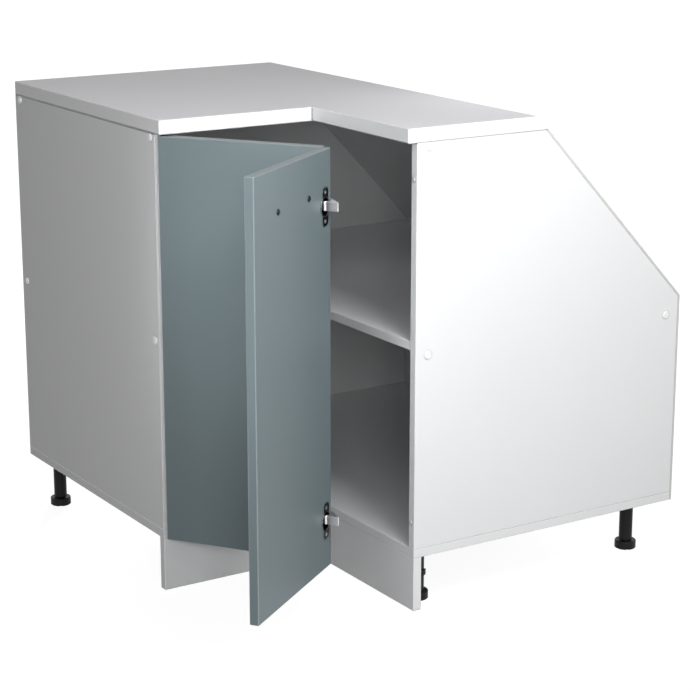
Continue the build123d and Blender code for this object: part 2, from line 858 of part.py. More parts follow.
def make_fold_plates():
    plates = []
    for z in hinge_heights:
        plate = block(
            fold_plate_x0,
            fold_plate_x1,
            fold_plate_v,
            leaf_a_face,
            z - plate_height / 2,
            z + plate_height / 2,
        )
        plates.append(drilled(plate, fold_plate_spots, plate_screw))
    return Compound(children=plates)


# Handle, its screws and the bumpers
handle_z = leaf_top - handle_from_top
handle_middle = (fold_v + leaf_joint_gap / 2 + unit_depth - leaf_side_gap) / 2
handle_vs = (handle_middle - handle_screws_apart / 2, handle_middle + handle_screws_apart / 2)


def handle_screw(v, clear=0.0):
    # a screw through the leaf, its round head on the inner face
    inward = Plane(origin=place((leaf_b_face, v, handle_z)), z_dir=to_left)
    length = leaf + handle_screw_bite
    shank = Cylinder(handle_screw_radius + clear, length + clear, align=stand)
    return inward * shank


def make_handle():
    axis_x = leaf_b_outer - handle_reach
    along = Plane(origin=place((axis_x, handle_middle - handle_length / 2, handle_z)), z_dir=to_front)
    bar = Cylinder(handle_bar_radius, handle_length, align=stand)
    handle = along * chamfer(bar.edges().filter_by(GeomType.CIRCLE), handle_bevel)
    for v in handle_vs:
        post = Plane(origin=place((leaf_b_outer, v, handle_z)), z_dir=to_left)
        handle += post * Cylinder(handle_post_radius, handle_reach, align=stand)
    for v in handle_vs:
        handle -= handle_screw(v, fixing_clear)
    return handle


def make_handle_screws():
    screws = []
    for v in handle_vs:
        outward = Plane(origin=place((leaf_b_face, v, handle_z)), z_dir=to_right)
        head = Cylinder(handle_screw_head_radius, handle_screw_head_height, align=stand)
        head = fillet(head.edges().sort_by(Axis.Z)[-1:], handle_screw_head_height * dome_share)
        screws.append(outward * head + handle_screw(v))
    return Compound(children=screws)


def make_bumpers():
    bumpers = []
    v = (flank_inner + unit_depth - leaf_side_gap) / 2
    for z in (leaf_foot + bumper_inset, leaf_top - bumper_inset):
        face = Plane(origin=place((front_x, v, z)), z_dir=to_left)
        bumpers.append(face * Cylinder(bumper_radius, bumper_thick, align=stand))
    return Compound(children=bumpers)


shelf_end = low_inner - fit_gap
nodes = {
    "worktop": make_worktop(),
    "side_panel_left": make_side_panel_left(),
    "side_panel_right": make_side_panel_right(),
    "bottom_panel": make_bottom_panel(),
    "shelf": make_shelf(),
    "rear_back_panel": make_rear_back(),
    "low_back_panel": make_low_back(),
    "sloped_back_panel": make_sloped_back(),
    "worktop_batten_left": left_batten(worktop_bottom, worktop_left_spots, worktop_screw),
    "worktop_batten_right": right_batten(
        worktop_bottom, slope_batten_end, worktop_right_spots, worktop_screw, []
    ),
    "worktop_batten_rear": rear_batten(
        worktop_bottom, slope_batten_end, worktop_rear_spots, worktop_screw, rear_worktop_nails
    ),
    "worktop_batten_slope": slope_batten(),
    "shelf_batten_left": left_batten(shelf_bottom, shelf_left_spots, batten_screw),
    "shelf_batten_right": right_batten(shelf_bottom, shelf_end, shelf_right_spots, batten_screw, []),
    "shelf_batten_rear": rear_batten(
        shelf_bottom, shelf_end, shelf_rear_spots, batten_screw, rear_shelf_nails
    ),
    "shelf_batten_low": low_batten(
        shelf_bottom, low_inner, shelf_low_spots, batten_screw, low_shelf_nails
    ),
    "flank_screws": fixings(left_flank_spots + right_flank_spots, batten_screw),
    "screw_caps": make_screw_caps(),
    "worktop_screws": fixings(worktop_spots, worktop_screw),
    "shelf_screws": fixings(shelf_spots, batten_screw),
    "carcass_screws": fixings(carcass_spots, carcass_screw),
    "back_nails": fixings(rear_nails + low_nails + slope_nails, back_nail),
    "leg_sockets": make_leg_sockets(),
    "leg_screws": fixings(leg_screw_spots, leg_screw),
    "plinth_left": make_plinth_left(),
    "plinth_right": make_plinth_right(),
    "plinth_clips": make_plinth_clips(),
    "plinth_joint_plate": make_joint_plate(),
    "plinth_screws": fixings(clip_spots + joint_plate_spots, plate_screw),
    "door_bumpers": make_bumpers(),
    "cabinet_hinge_plates": make_cabinet_plates(),
    "cabinet_hinge_arms": make_cabinet_arms(),
    "cabinet_plate_screws": fixings(cabinet_plate_spots, plate_screw),
}
for name, spot in leg_spots.items():
    nodes["foot_" + name] = make_foot(spot)

# The leaves stand open as one L; each link of the cabinet hinge has turned its share
on_leaf_a = {
    "door_leaf_a": make_leaf_a(),
    "cabinet_hinge_cups": make_cabinet_cups(),
    "cabinet_cup_screws": fixings(cup_a_screws, plate_screw),
    "fold_hinge_plates": make_fold_plates(),
    "fold_hinge_arms": make_fold_arms(),
    "fold_plate_screws": fixings(fold_plate_spots, plate_screw),
    "fold_hinge_links": make_fold_links(),
    "door_leaf_b": make_leaf_b(),
    "fold_hinge_cups": make_fold_cups(),
    "fold_cup_screws": fixings(cup_b_screws, plate_screw),
    "handle": make_handle(),
    "handle_screws": make_handle_screws(),
}
for name, shape in on_leaf_a.items():
    nodes[name] = turned(shape, cabinet_pivot, rest_angle)
nodes["cabinet_hinge_inner_links"] = turned(make_cabinet_links(1), cabinet_pivot, rest_angle * 2 / 3)
nodes["cabinet_hinge_outer_links"] = turned(make_cabinet_links(2), cabinet_pivot, rest_angle / 3)

# The origin is below the middle of the box round the whole unit, on the floor
boxes = [nodes[name].bounding_box() for name in ("worktop", "door_leaf_b", "low_back_panel")]
origin_x = (min(box.min.X for box in boxes) + max(box.max.X for box in boxes)) / 2
origin_y = (min(box.min.Y for box in boxes) + max(box.max.Y for box in boxes)) / 2
print("origin", round(origin_x, 3), round(-origin_y, 3))

for name, shape in nodes.items():
    export_step(Pos(-origin_x, -origin_y, 0) * shape, "parts/" + name + ".step")
print(len(nodes), "nodes written")
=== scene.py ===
import bmesh
import bpy
import json
import math
import numpy as np
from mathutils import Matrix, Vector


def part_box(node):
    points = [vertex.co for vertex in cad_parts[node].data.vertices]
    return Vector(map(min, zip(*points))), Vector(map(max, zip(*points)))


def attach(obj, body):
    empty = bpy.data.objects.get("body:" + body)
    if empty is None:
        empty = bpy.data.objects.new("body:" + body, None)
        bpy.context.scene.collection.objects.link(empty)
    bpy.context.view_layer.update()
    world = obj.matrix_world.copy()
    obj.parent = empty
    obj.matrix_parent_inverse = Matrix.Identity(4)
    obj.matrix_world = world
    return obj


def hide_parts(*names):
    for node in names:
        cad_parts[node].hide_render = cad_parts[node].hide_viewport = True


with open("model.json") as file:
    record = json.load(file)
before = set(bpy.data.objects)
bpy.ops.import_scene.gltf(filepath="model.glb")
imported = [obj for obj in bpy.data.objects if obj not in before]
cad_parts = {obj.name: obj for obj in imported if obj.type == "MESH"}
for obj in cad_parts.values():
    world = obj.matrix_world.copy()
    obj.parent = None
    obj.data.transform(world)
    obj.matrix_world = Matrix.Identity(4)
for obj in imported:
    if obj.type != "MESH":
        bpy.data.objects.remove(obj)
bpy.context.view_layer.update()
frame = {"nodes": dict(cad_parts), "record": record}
nodes = frame["nodes"]
print("frame loaded,", len(nodes), "pieces")


# small helpers for node trees

def feedAll(tree, node, values):
    # each value is either another node's output, which is linked, or set as it is
    for label, value in values.items():
        if isinstance(value, bpy.types.NodeSocket):
            tree.links.new(value, node.inputs[label])
        else:
            node.inputs[label].default_value = value


def addNode(tree, kind, values=None, **settings):
    node = tree.nodes.new(kind)
    for key, value in settings.items():
        setattr(node, key, value)
    feedAll(tree, node, values or {})
    return node


def mathNode(tree, operation, *values):
    return addNode(tree, "ShaderNodeMath", dict(enumerate(values)), operation=operation).outputs[0]


def dotNode(tree, first, second):
    values = {0: first, 1: second}
    return addNode(tree, "ShaderNodeVectorMath", values, operation="DOT_PRODUCT").outputs["Value"]


def splitNode(tree, vector):
    return addNode(tree, "ShaderNodeSeparateXYZ", {0: vector}).outputs


def clampNode(tree, value):
    return addNode(tree, "ShaderNodeClamp", {"Value": value}).outputs[0]


def mixColors(tree, factor, first, second):
    colors = [color if isinstance(color, bpy.types.NodeSocket) else (*color, 1.0)
              for color in (first, second)]
    values = {0: factor, 6: colors[0], 7: colors[1]}
    return addNode(tree, "ShaderNodeMix", values, data_type="RGBA").outputs[2]


def useGroup(tree, group, values=None):
    return addNode(tree, "ShaderNodeGroup", values, node_tree=group).outputs


def newGroup(name, inputs, outputs):
    # an effect that several materials share, with named inputs and outputs
    group = bpy.data.node_groups.new(name, "ShaderNodeTree")
    for label, kind, value in inputs:
        socket = group.interface.new_socket(label, in_out="INPUT", socket_type=kind)
        socket.default_value = value
    for label, kind in outputs:
        group.interface.new_socket(label, in_out="OUTPUT", socket_type=kind)
    source = group.nodes.new("NodeGroupInput")
    sink = group.nodes.new("NodeGroupOutput")
    return group, source.outputs, sink.inputs


# faint clouding and dust that break up a flat board or casting
noiseLook = {
    "Cloud": {"Detail": 4.0, "Roughness": 0.6},
    "Speck": {"Scale": 900.0, "Detail": 2.0},
    "Grain": {"Scale": 260.0, "Detail": 3.0, "Roughness": 0.55},
}


def buildClouding(look):
    group, given, made = newGroup(
        "clouding",
        [("Scale", "NodeSocketFloat", 6.0), ("Seed", "NodeSocketFloat", 0.0)],
        [(label, "NodeSocketFloat") for label in look],
    )
    place = addNode(group, "ShaderNodeTexCoord").outputs["Object"]
    for label, values in look.items():
        noise = addNode(group, "ShaderNodeTexNoise")
        if label == "Cloud":
            noise.noise_dimensions = "4D"
            feedAll(group, noise, {"Scale": given["Scale"], "W": given["Seed"]})
        feedAll(group, noise, {"Vector": place, **values})
        group.links.new(noise.outputs["Fac"], made[label])
    return group


# where a sharp edge runs, from the difference between true and rounded normals
def buildEdgeMask():
    group, given, made = newGroup(
        "edgeMask",
        [("Width", "NodeSocketFloat", 0.002), ("Sharpness", "NodeSocketFloat", 3.0)],
        [("Mask", "NodeSocketFloat"), ("Rounded", "NodeSocketVector")],
    )
    bevel = addNode(group, "ShaderNodeBevel", {"Radius": given["Width"]}, samples=4)
    rounded = bevel.outputs["Normal"]
    flat = addNode(group, "ShaderNodeNewGeometry").outputs["True Normal"]
    turnedAway = mathNode(group, "SUBTRACT", 1.0, dotNode(group, rounded, flat))
    steep = mathNode(group, "MULTIPLY", turnedAway, given["Sharpness"])
    group.links.new(clampNode(group, steep), made["Mask"])
    group.links.new(rounded, made["Rounded"])
    return group


# painted shade, with some dust, in narrow grooves and inner corners, read from ambient occlusion
def buildCreaseShadeMask():
    group, given, made = newGroup(
        "creaseShadeMask",
        [("Reach", "NodeSocketFloat", 0.004), ("Sharpness", "NodeSocketFloat", 2.2)],
        [("Crease Shade", "NodeSocketFloat")],
    )
    near = addNode(group, "ShaderNodeAmbientOcclusion", {"Distance": given["Reach"]}, samples=6)
    closed = mathNode(group, "SUBTRACT", 1.0, near.outputs["AO"])
    deep = mathNode(group, "MULTIPLY", closed, given["Sharpness"])
    group.links.new(clampNode(group, deep), made["Crease Shade"])
    return group


# tells a board's two broad faces from its narrow edges
def buildBroadFace():
    group, given, made = newGroup(
        "broadFace",
        [("Face Axis", "NodeSocketVector", (0.0, 0.0, 1.0)), ("Limit", "NodeSocketFloat", 0.6)],
        [("Broad", "NodeSocketFloat")],
    )
    outward = addNode(group, "ShaderNodeTexCoord").outputs["Normal"]
    facing = mathNode(group, "ABSOLUTE", dotNode(group, outward, given["Face Axis"]))
    group.links.new(mathNode(group, "GREATER_THAN", facing, given["Limit"]), made["Broad"])
    return group


# the dark joint line where two boards meet flush at one height; it is drawn strong on faces turned
# along x and faint on faces turned along y
def buildSeamLine():
    group, given, made = newGroup(
        "seamLine",
        [("Height", "NodeSocketFloat", 0.0), ("Reach", "NodeSocketFloat", 0.0018),
         ("Y Facing Share", "NodeSocketFloat", 0.15), ("Upright Limit", "NodeSocketFloat", 0.5)],
        [("Shade", "NodeSocketFloat")],
    )
    place = addNode(group, "ShaderNodeTexCoord").outputs
    height = splitNode(group, place["Object"])["Z"]
    tilt = splitNode(group, place["Normal"])
    away = mathNode(group, "ABSOLUTE", mathNode(group, "SUBTRACT", height, given["Height"]))
    near = mathNode(group, "LESS_THAN", away, given["Reach"])
    level = mathNode(group, "ABSOLUTE", tilt["Z"])
    upright = mathNode(group, "LESS_THAN", level, given["Upright Limit"])
    sideways = mathNode(group, "ABSOLUTE", tilt["X"])
    xShare = mathNode(group, "SUBTRACT", 1.0, given["Y Facing Share"])
    sideWeight = mathNode(group, "ADD", mathNode(group, "MULTIPLY", sideways, xShare),
                        given["Y Facing Share"])
    shade = mathNode(group, "MULTIPLY", mathNode(group, "MULTIPLY", near, upright), sideWeight)
    group.links.new(shade, made["Shade"])
    return group


# a coarse thread round an upright axis, above a given height
def buildScrewThread():
    group, given, made = newGroup(
        "screwThread",
        [("Axis", "NodeSocketVector", (0.0, 0.0, 0.0)), ("Pitch", "NodeSocketFloat", 0.003),
         ("Above", "NodeSocketFloat", 0.016)],
        [("Ridge", "NodeSocketFloat")],
    )
    place = addNode(group, "ShaderNodeTexCoord").outputs["Object"]
    away = addNode(group, "ShaderNodeVectorMath", {0: place, 1: given["Axis"]}, operation="SUBTRACT")
    split = splitNode(group, away.outputs[0])
    turn = mathNode(group, "ARCTAN2", split["Y"], split["X"])
    rounds = mathNode(group, "DIVIDE", split["Z"], given["Pitch"])
    climb = mathNode(group, "MULTIPLY", rounds, math.tau)
    wave = mathNode(group, "SINE", mathNode(group, "SUBTRACT", climb, turn))
    upper = mathNode(group, "GREATER_THAN", split["Z"], given["Above"])
    group.links.new(mathNode(group, "MULTIPLY", wave, upper), made["Ridge"])
    return group


clouding = buildClouding(noiseLook)
edgeMask = buildEdgeMask()
creaseShadeMask = buildCreaseShadeMask()
broadFace = buildBroadFace()
seamLine = buildSeamLine()
screwThread = buildScrewThread()


def startMaterial(name):
    material = bpy.data.materials.new(name)
    material.use_nodes = True
    tree = material.node_tree
    return material, tree, tree.nodes["Principled BSDF"]


def roughnessRange(tree, source, look, below, above):
    # lets the gloss vary a little round the finish's own roughness
    middle = look["roughness"]
    values = {"Value": source, "To Min": middle - below, "To Max": middle + above}
    return addNode(tree, "ShaderNodeMapRange", values).outputs[0]


def bumpNormal(tree, height, strength, distance, normal):
    values = {"Strength": strength, "Distance": distance, "Height": height, "Normal": normal}
    return addNode(tree, "ShaderNodeBump", values).outputs["Normal"]


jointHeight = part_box("worktop")[0][2]  # where the worktop lies on the flanks
slopeAxis = (0.725, 0.0, 0.688)  # outward from the sloped cut

# lacquered and melamine-faced boards; lengths in metres
boardBasics = {
    "cloudScale": 5.0, "speck": 0.06, "arrisSharpness": 8.0, "cutFacing": 0.6, "cutShadeShare": 0.85,
    "coatRoughness": 0.2, "smoother": 0.06, "rougher": 0.08, "bumpDistance": 0.0004,
}
# the edge colours paint a highlight on the arrises, paler than the face; the cut colour paints shade
# along the sloped cut; the crease values paint shade, with some dust, in grooves and inner corners
boardLooks = {
    "worktopLaminate": {
        "dark": (0.65, 0.64, 0.665), "light": (0.70, 0.69, 0.715), "seed": 1.0,
        "core": (0.84, 0.845, 0.852), "faceAxis": (0.0, 0.0, 1.0),  # white edging round the board
        "edge": 0.9, "edgeColor": (0.96, 0.96, 0.96), "edgeWidth": 0.0025,
        "cutShadeColor": (0.16, 0.155, 0.15), "joint": 0.95,
        "creaseShade": 0.95, "shadeAndJointColor": (0.04, 0.04, 0.04),
        "arrisGloss": 3.0, "specular": 0.35, "roughness": 0.38, "bump": 0.12,
    },
    "whiteMelamine": {
        "dark": (0.82, 0.827, 0.835), "light": (0.86, 0.865, 0.87), "seed": 2.0,
        "edge": 0.9, "edgeColor": (0.96, 0.96, 0.96), "edgeWidth": 0.002,
        "cutShadeColor": (0.16, 0.155, 0.15), "joint": 0.95,
        "creaseShade": 0.5, "shadeAndJointColor": (0.04, 0.04, 0.04),
        "arrisGloss": 3.0, "specular": 0.2, "roughness": 0.42, "bump": 0.10,
    },
    "blueGreyLacquer": {
        "dark": (0.154, 0.195, 0.209), "light": (0.171, 0.215, 0.229), "seed": 4.0,
        "levelEdgeShade": (0.10, 0.126, 0.134),  # painted shade on the upper and lower edges
        "edge": 0.8, "edgeColor": (0.40, 0.46, 0.48), "edgeWidth": 0.0018,
        "cutShadeColor": (0.40, 0.46, 0.48),
        "creaseShade": 0.8, "shadeAndJointColor": (0.02, 0.024, 0.028),
        "arrisGloss": 2.3, "specular": 0.25, "roughness": 0.36, "bump": 0.06,
    },
}
# thin hardboard backs: pale lacquer on both broad faces, greyer than the white boards as painted
# shade for the inside, and cut edges whose arrises are greyed as painted shade
backLook = {
    "dark": (0.60, 0.615, 0.615), "light": (0.64, 0.655, 0.655), "seed": 3.0,
    "core": (0.64, 0.635, 0.62),
    "edge": 0.8, "edgeColor": (0.28, 0.275, 0.265), "edgeWidth": 0.001,
    "cutShadeColor": (0.28, 0.275, 0.265),
    "creaseShade": 0.1, "shadeAndJointColor": (0.06, 0.06, 0.06),
    "arrisGloss": 1.5, "specular": 0.5, "roughness": 0.55, "bump": 0.2,
}
backFaces = {
    "rear_back_panel": (0.0, 1.0, 0.0),
    "low_back_panel": (1.0, 0.0, 0.0),
    "sloped_back_panel": slopeAxis,
}


def boardFinish(name, look, basics=boardBasics):
    # soft clouding, orange-peel bump, joint lines, painted shade in creases, painted highlights on
    # arrises and painted shade along the sloped cut
    material, tree, shader = startMaterial(name)
    cloud = useGroup(tree, clouding, {"Scale": basics["cloudScale"], "Seed": look["seed"]})
    edge = useGroup(tree, edgeMask, {
        "Width": look["edgeWidth"], "Sharpness": basics["arrisSharpness"],
    })
    creaseShade = useGroup(tree, creaseShadeMask)
    color = mixColors(tree, cloud["Cloud"], look["dark"], look["light"])
    dusty = mathNode(tree, "MULTIPLY", cloud["Speck"], basics["speck"])
    color = mixColors(tree, dusty, color, look["dark"])
    if "core" in look:
        broad = useGroup(tree, broadFace, {"Face Axis": look["faceAxis"]})
        color = mixColors(tree, broad["Broad"], look["core"], color)
    # painted shade darkens the upper and lower edges
    if "levelEdgeShade" in look:
        level = useGroup(tree, broadFace)
        color = mixColors(tree, level["Broad"], color, look["levelEdgeShade"])
    # painted shade greys the arrises along the sloped cut; the others take the edge colour, a
    # painted highlight paler than the face, and on the thin backs a painted shade line
    along = dotNode(tree, edge["Rounded"], slopeAxis)
    onCut = mathNode(tree, "GREATER_THAN", along, basics["cutFacing"])
    cut = mathNode(tree, "MULTIPLY", edge["Mask"], onCut)
    plain = mathNode(tree, "SUBTRACT", edge["Mask"], cut)
    arrisLightAndShade = mathNode(tree, "MULTIPLY", plain, look["edge"])
    color = mixColors(tree, arrisLightAndShade, color, look["edgeColor"])
    cutShade = mathNode(tree, "MULTIPLY", cut, basics["cutShadeShare"])
    color = mixColors(tree, cutShade, color, look["cutShadeColor"])
    # painted shade darkens grooves and inner corners, with some dust
    shade = mathNode(tree, "MULTIPLY", creaseShade["Crease Shade"], look["creaseShade"])
    color = mixColors(tree, shade, color, look["shadeAndJointColor"])
    if "joint" in look:
        seam = useGroup(tree, seamLine, {"Height": jointHeight})
        joint = mathNode(tree, "MULTIPLY", seam["Shade"], look["joint"])
        color = mixColors(tree, joint, color, look["shadeAndJointColor"])
    rough = roughnessRange(tree, cloud["Cloud"], look, basics["smoother"], basics["rougher"])
    normal = bumpNormal(tree, cloud["Grain"], look["bump"], basics["bumpDistance"], edge["Rounded"])
    feedAll(tree, shader, {
        "Base Color": color, "Roughness": rough, "Normal": normal,
        "Specular IOR Level": look["specular"], "Coat Weight": plain,
        "Coat IOR": look["arrisGloss"], "Coat Roughness": basics["coatRoughness"],
    })
    return material


# plated and brushed steel; "lines" is how finely the drawn lines run along x, y and z
metalBasics = {
    "cloudScale": 60.0, "arrisSharpness": 4.0, "smoother": 0.08, "rougher": 0.12,
    "bumpDistance": 0.0002,
}
# the worn colour on arrises is a painted highlight, with some wear
metalLooks = {
    "nickelPlate": {
        "dark": (0.78, 0.78, 0.79), "light": (0.86, 0.86, 0.87), "wornAndHighlit": (0.98, 0.98, 0.98),
        "edge": 0.95, "edgeWidth": 0.002, "roughness": 0.38, "bump": 0.05,
        "lines": (300.0, 300.0, 4000.0),
    },
    # the same nickel plate with a dark base colour: a painted dark reflection of the surroundings
    "darkReflectionNickel": {
        "dark": (0.035, 0.037, 0.038), "light": (0.06, 0.062, 0.063), "wornAndHighlit": (0.70, 0.71, 0.71),
        "edge": 0.9, "edgeWidth": 0.0012, "roughness": 0.3, "bump": 0.05,
        "lines": (300.0, 300.0, 4000.0),
    },
    "zincScrew": {
        "dark": (0.60, 0.60, 0.62), "light": (0.76, 0.76, 0.78), "wornAndHighlit": (0.9, 0.9, 0.9),
        "edge": 0.6, "edgeWidth": 0.0004, "roughness": 0.28, "bump": 0.2,
        "lines": (900.0, 900.0, 900.0),
    },
    # screw heads with a dark base colour: a painted dark reflection of the surroundings
    "darkReflectionScrew": {
        "dark": (0.015, 0.015, 0.016), "light": (0.03, 0.03, 0.031), "wornAndHighlit": (0.3, 0.3, 0.3),
        "edge": 0.5, "edgeWidth": 0.0004, "roughness": 0.16, "bump": 0.05,
        "lines": (900.0, 900.0, 900.0),
    },
    "brushedSteel": {
        "dark": (0.52, 0.52, 0.53), "light": (0.62, 0.62, 0.63), "wornAndHighlit": (0.75, 0.75, 0.75),
        "edge": 0.5, "edgeWidth": 0.0006, "roughness": 0.3, "bump": 0.3,
        "lines": (120.0, 120.0, 2600.0),
    },
}


def metalFinish(name, look, basics=metalBasics):
    # fine drawn lines, smudges, and arrises painted paler, with some wear and a painted highlight
    material, tree, shader = startMaterial(name)
    place = addNode(tree, "ShaderNodeTexCoord").outputs["Object"]
    stretched = addNode(tree, "ShaderNodeMapping", {"Vector": place, "Scale": look["lines"]})
    lines = addNode(tree, "ShaderNodeTexNoise", {
        "Vector": stretched.outputs["Vector"], "Scale": 1.0, "Detail": 3.0,
    }).outputs["Fac"]
    cloud = useGroup(tree, clouding, {"Scale": basics["cloudScale"]})
    edge = useGroup(tree, edgeMask, {
        "Width": look["edgeWidth"], "Sharpness": basics["arrisSharpness"],
    })
    base = mixColors(tree, cloud["Cloud"], look["dark"], look["light"])
    wornAndHighlit = mathNode(tree, "MULTIPLY", edge["Mask"], look["edge"])
    feedAll(tree, shader, {
        "Base Color": mixColors(tree, wornAndHighlit, base, look["wornAndHighlit"]), "Metallic": 1.0,
        "Roughness": roughnessRange(tree, lines, look, basics["smoother"], basics["rougher"]),
        "Normal": bumpNormal(tree, lines, look["bump"], basics["bumpDistance"], edge["Rounded"]),
    })
    return material


# moulded plastics and rubber
plasticBasics = {
    "cloudScale": 40.0, "edge": 0.4, "edgeWidth": 0.0008, "coatIor": 1.9, "coatRoughness": 0.12,
    "bumpDistance": 0.0003, "threadDepth": 0.0006,
}
# the worn colour on arrises is partly rubbing and partly a painted highlight
plasticLooks = {
    "blackLegPlastic": {
        "dark": (0.007, 0.007, 0.0075), "light": (0.012, 0.012, 0.0125),
        "wornAndHighlit": (0.035, 0.035, 0.035),
        "roughness": 0.42, "specular": 0.15, "gloss": 0.0, "bump": 0.25,
    },
    "whiteCapPlastic": {
        "dark": (0.86, 0.86, 0.87), "light": (0.90, 0.90, 0.90), "wornAndHighlit": (0.95, 0.95, 0.95),
        "roughness": 0.3, "specular": 0.5, "gloss": 1.0, "bump": 0.05,
    },
    "clearBumperRubber": {
        "dark": (0.62, 0.63, 0.64), "light": (0.70, 0.70, 0.70), "wornAndHighlit": (0.8, 0.8, 0.8),
        "roughness": 0.25, "specular": 0.5, "gloss": 0.3, "bump": 0.05,
    },
}


def plasticFinish(name, look, threadAxis=None, basics=plasticBasics):
    # soft clouding and arrises painted paler, with some rubbing and a painted highlight, and a
    # thread on the levelling legs
    material, tree, shader = startMaterial(name)
    cloud = useGroup(tree, clouding, {"Scale": basics["cloudScale"]})
    edge = useGroup(tree, edgeMask, {"Width": basics["edgeWidth"]})
    base = mixColors(tree, cloud["Cloud"], look["dark"], look["light"])
    wornAndHighlit = mathNode(tree, "MULTIPLY", edge["Mask"], basics["edge"])
    normal = bumpNormal(tree, cloud["Speck"], look["bump"], basics["bumpDistance"], edge["Rounded"])
    if threadAxis:
        thread = useGroup(tree, screwThread, {"Axis": threadAxis})
        normal = bumpNormal(tree, thread["Ridge"], 1.0, basics["threadDepth"], normal)
    feedAll(tree, shader, {
        "Base Color": mixColors(tree, wornAndHighlit, base, look["wornAndHighlit"]), "Normal": normal,
        "Roughness": look["roughness"], "Specular IOR Level": look["specular"],
        "Coat Weight": look["gloss"], "Coat IOR": basics["coatIor"],
        "Coat Roughness": basics["coatRoughness"],
    })
    return material


finishes = {name: boardFinish(name, look) for name, look in boardLooks.items()}
finishes.update({name: metalFinish(name, look) for name, look in metalLooks.items()})
finishes.update({name: plasticFinish(name, look) for name, look in plasticLooks.items()})

finishOfSlot = {
    "worktop": "worktopLaminate",
    "carcass_board": "whiteMelamine",
    "plinth_board": "whiteMelamine",
    "door_board": "blueGreyLacquer",
    "screw_steel": "zincScrew",
    "cap_plastic": "whiteCapPlastic",
    "leg_plastic": "blackLegPlastic",
    "hinge_steel": "nickelPlate",
    "handle_steel": "brushedSteel",
    "bumper_rubber": "clearBumperRubber",
}
darkReflectionParts = ("cups", "links")  # hinge pieces whose nickel has a painted dark reflection
for part in frame["record"]["subparts"]:
    name = part["node"]
    if name in backFaces:
        finish = boardFinish(name + "Lacquer", {**backLook, "faceAxis": backFaces[name]})
    elif name.startswith("foot_"):
        low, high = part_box(name)
        axis = ((low[0] + high[0]) / 2, (low[1] + high[1]) / 2, 0.0)
        finish = plasticFinish(name + "Plastic", plasticLooks["blackLegPlastic"], threadAxis=axis)
    elif name.endswith(darkReflectionParts):
        finish = finishes["darkReflectionNickel"]
    else:
        finish = finishes[finishOfSlot[part["material_slot"]]]
    nodes[name].data.materials.clear()
    nodes[name].data.materials.append(finish)
print("finishes set on", len(nodes), "pieces")

# screws with cross recesses, which stand for the plain ones; sizes in metres, and the
# rows with a capital are inputs of the node tree
screwLooks = {
    "plateScrew": {
        "nodes": ("cabinet_plate_screws", "cabinet_cup_screws", "fold_plate_screws",
                  "fold_cup_screws", "plinth_screws"),
        "Head Radius": 0.0036, "Head Height": 0.0016, "Shank Radius": 0.0018, "Length": 0.013,
    },
    "legScrew": {
        "nodes": ("leg_screws",),
        "Head Radius": 0.0034, "Head Height": 0.0016, "Shank Radius": 0.0018, "Length": 0.014,
    },
    "battenScrew": {
        "nodes": ("flank_screws", "shelf_screws"),
        "Head Radius": 0.004, "Head Height": 0.0025, "Shank Radius": 0.002, "Length": 0.027,
    },
    "worktopScrew": {
        "nodes": ("worktop_screws",),
        "Head Radius": 0.004, "Head Height": 0.0025, "Shank Radius": 0.002, "Length": 0.034,
    },
    "carcassScrew": {
        "nodes": ("carcass_screws",),
        "Head Radius": 0.0048, "Head Height": 0.003, "Shank Radius": 0.0025, "Length": 0.05,
    },
    "handleScrew": {
        "nodes": ("handle_screws",), "finish": "darkReflectionScrew", "Round Head": True,
        "Head Radius": 0.005, "Head Height": 0.0024, "Shank Radius": 0.002, "Length": 0.0264,
    },
}
# what all screws share: shares of the head's radius and height, and how the ends run
screwBasics = {
    "width": 0.62, "bar": 0.26, "depth": 0.7, "taper": 0.4,  # the cross recess
    "sunk": 0.49,  # of its depth, so that it just breaks the head's surface
    "doming": 0.79, "tipShare": 0.2, "tipRate": 6.4,  # how a round head falls and a tip widens
    "head": {"Vertices": 24, "Side Segments": 5}, "shank": {"Vertices": 16, "Side Segments": 8},
    "turnSeed": 7, "creaseAngle": 35.0,
    "weld": 1e-6, "endDepth": 1e-4,  # metres, to read the plain screws by
}


def reshape(tree, mesh, factor, shift):
    # scales each ring of a mesh about its own axis and moves it along that axis
    split = splitNode(tree, addNode(tree, "GeometryNodeInputPosition").outputs[0])
    share = factor(split["Z"])
    joined = addNode(tree, "ShaderNodeCombineXYZ", {
        "X": mathNode(tree, "MULTIPLY", split["X"], share),
        "Y": mathNode(tree, "MULTIPLY", split["Y"], share),
        "Z": mathNode(tree, "SUBTRACT", split["Z"], shift),
    })
    values = {"Geometry": mesh, "Position": joined.outputs[0]}
    return addNode(tree, "GeometryNodeSetPosition", values).outputs["Geometry"]


def climbOf(tree, height, depth):
    # 0 at the lower end of a mesh that is centred on its axis, 1 at the upper end
    return mathNode(tree, "ADD", mathNode(tree, "DIVIDE", height, depth), 0.5)


def buildHead(tree, given, basics):
    # a cone for a sunk screw, a low dome for a round one
    radius, height = given["Head Radius"], given["Head Height"]
    blank = addNode(tree, "GeometryNodeMeshCylinder", {
        **basics["head"], "Radius": radius, "Depth": height,
    }, fill_type="NGON")

    def headShare(z):
        climb = climbOf(tree, z, height)
        neck = mathNode(tree, "DIVIDE", given["Shank Radius"], radius)
        widening = mathNode(tree, "MULTIPLY", mathNode(tree, "SUBTRACT", 1.0, neck), climb)
        cone = mathNode(tree, "ADD", neck, widening)
        bulge = mathNode(tree, "POWER", mathNode(tree, "MULTIPLY", climb, basics["doming"]), 2.0)
        dome = mathNode(tree, "SQRT", mathNode(tree, "SUBTRACT", 1.0, bulge))
        values = {"Switch": given["Round Head"], "False": cone, "True": dome}
        return addNode(tree, "GeometryNodeSwitch", values, input_type="FLOAT").outputs[0]

    half = mathNode(tree, "MULTIPLY", height, 0.5)
    return reshape(tree, blank.outputs["Mesh"], headShare, half)


